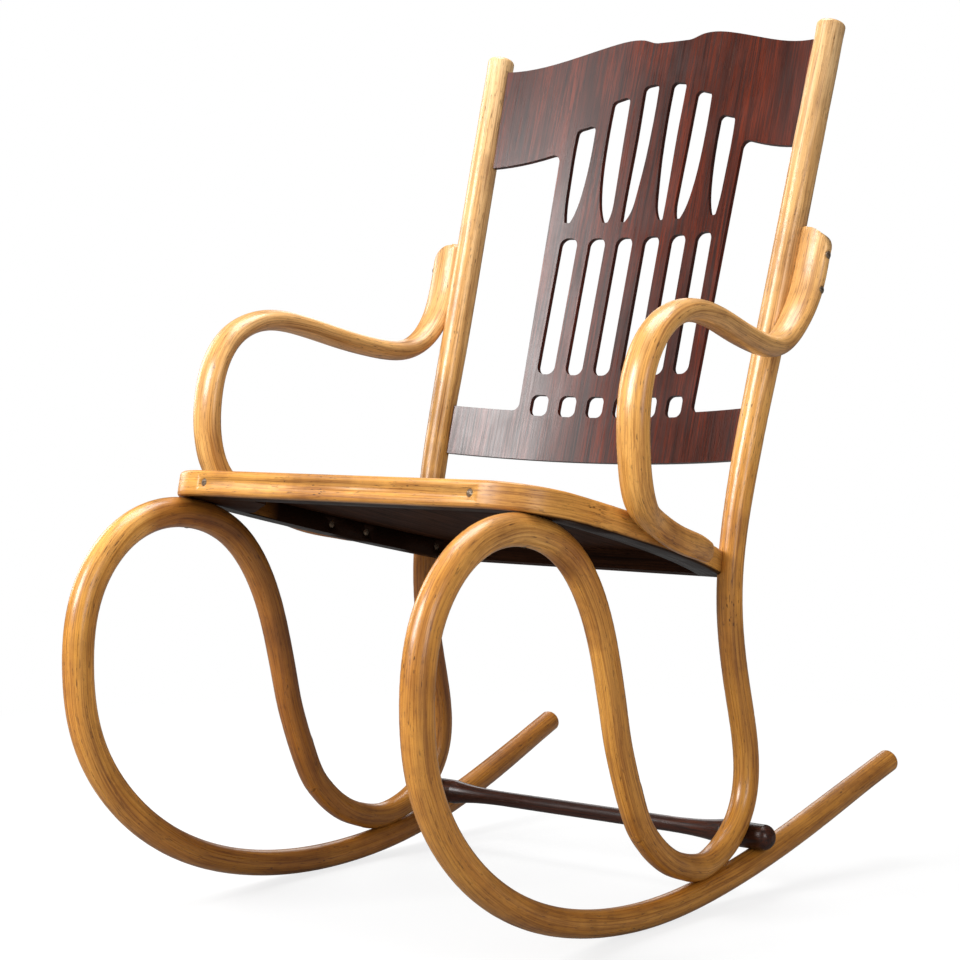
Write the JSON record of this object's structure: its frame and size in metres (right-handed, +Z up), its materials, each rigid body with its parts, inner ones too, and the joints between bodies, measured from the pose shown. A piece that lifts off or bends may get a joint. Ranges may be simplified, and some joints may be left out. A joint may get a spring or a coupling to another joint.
{
  "type": "bentwood rocking chair",
  "caption": "Bentwood rocking chair with looped rocker frames, a flat seat in a bent rail, bent arms and a bowed, pierced back panel.",
  "frame": {"origin": "on the floor under the middle of the chair's bounding box; the floor plane is z = 0, where the rockers touch it", "axes": "+Z up, the sitter faces -Y, +X is the sitter's left, the chair is symmetric about x = 0"},
  "size_m": [0.6332, 0.8528, 0.9876],
  "materials": {
    "left_rocker": "bent beech, honey coloured satin varnish",
    "right_rocker": "bent beech, honey coloured satin varnish",
    "left_back_post": "bent beech, honey coloured satin varnish",
    "right_back_post": "bent beech, honey coloured satin varnish",
    "seat_rail": "bent beech, honey coloured satin varnish",
    "left_arm": "bent beech, honey coloured satin varnish",
    "right_arm": "bent beech, honey coloured satin varnish",
    "seat_inner_wood": "beech, dark stain",
    "seat_panel": "plywood, dark red-brown stain and gloss varnish",
    "back_panel": "plywood, dark red-brown stain and gloss varnish",
    "stretcher": "turned beech, near-black stain",
    "screws": "slotted steel screws, dulled"
  },
  "bodies": {
    "root": {"left_rocker": "left_rocker", "right_rocker": "right_rocker", "left_back_post": "left_back_post", "right_back_post": "right_back_post", "seat_rail": "seat_rail", "seat_rear_rail": "seat_inner_wood", "left_corner_block": "seat_inner_wood", "right_corner_block": "seat_inner_wood", "seat_panel": "seat_panel", "back_panel": "back_panel", "left_arm": "left_arm", "right_arm": "right_arm", "stretcher": "stretcher", "loop_screws": "screws", "bend_screws": "screws", "stretcher_screws": "screws", "front_rail_screws": "screws", "arm_foot_screws": "screws", "arm_post_screws": "screws", "seat_post_screws": "screws"}
  },
  "joints": []
}
